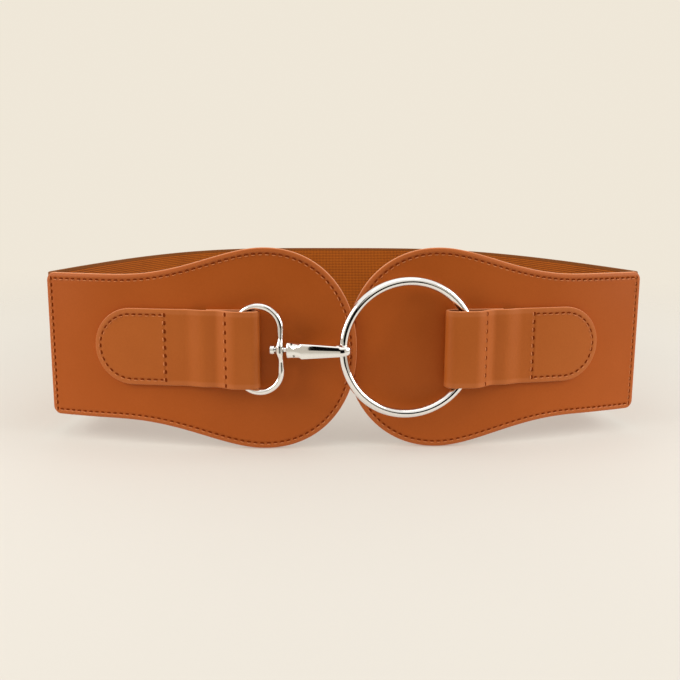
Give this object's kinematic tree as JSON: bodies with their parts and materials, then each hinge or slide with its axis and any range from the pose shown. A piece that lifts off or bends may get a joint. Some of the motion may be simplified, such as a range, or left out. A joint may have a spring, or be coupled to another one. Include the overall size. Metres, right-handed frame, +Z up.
{
  "type": "elastic stretch belt",
  "caption": "Wide waist belt with two lobed leather-look front panels, an elastic back band and a swivel snap hook that catches a large round ring.",
  "frame": {"origin": "on the ground under the middle of the belt's box", "axes": "+Z up; the front with the clasp faces -Y; +X is the viewer's right, towards the ring"},
  "size_m": [0.2512, 0.1748, 0.0825],
  "materials": {
    "elastic": "ochre-brown ribbed elastic webbing, matt",
    "panel_leather": "smooth tan leather-look, low sheen, fine grain, turned edges with tonal stitching",
    "strap_leather": "smooth tan leather-look, low sheen, cut edges",
    "chrome": "bright polished plating"
  },
  "bodies": {
    "root": {"elastic_band": "elastic", "left_panel": "panel_leather", "right_panel": "panel_leather", "left_strap": "strap_leather", "right_strap": "strap_leather", "clasp_loop": "chrome", "snap_hook": "chrome", "gate_pin": "chrome", "round_ring": "chrome"},
    "gate": {"hook_gate": "chrome"}
  },
  "joints": [
    {"name": "gate_hinge", "type": "hinge", "parent": "root", "child": "gate", "pos_m": [-0.02321, -0.07796, 0.04315], "axis": [0.0185, -0.077, -0.9969], "range_deg": [0, 14], "stiffness_Nm_per_rad": 0.001, "springref_deg": -2.86}
  ]
}
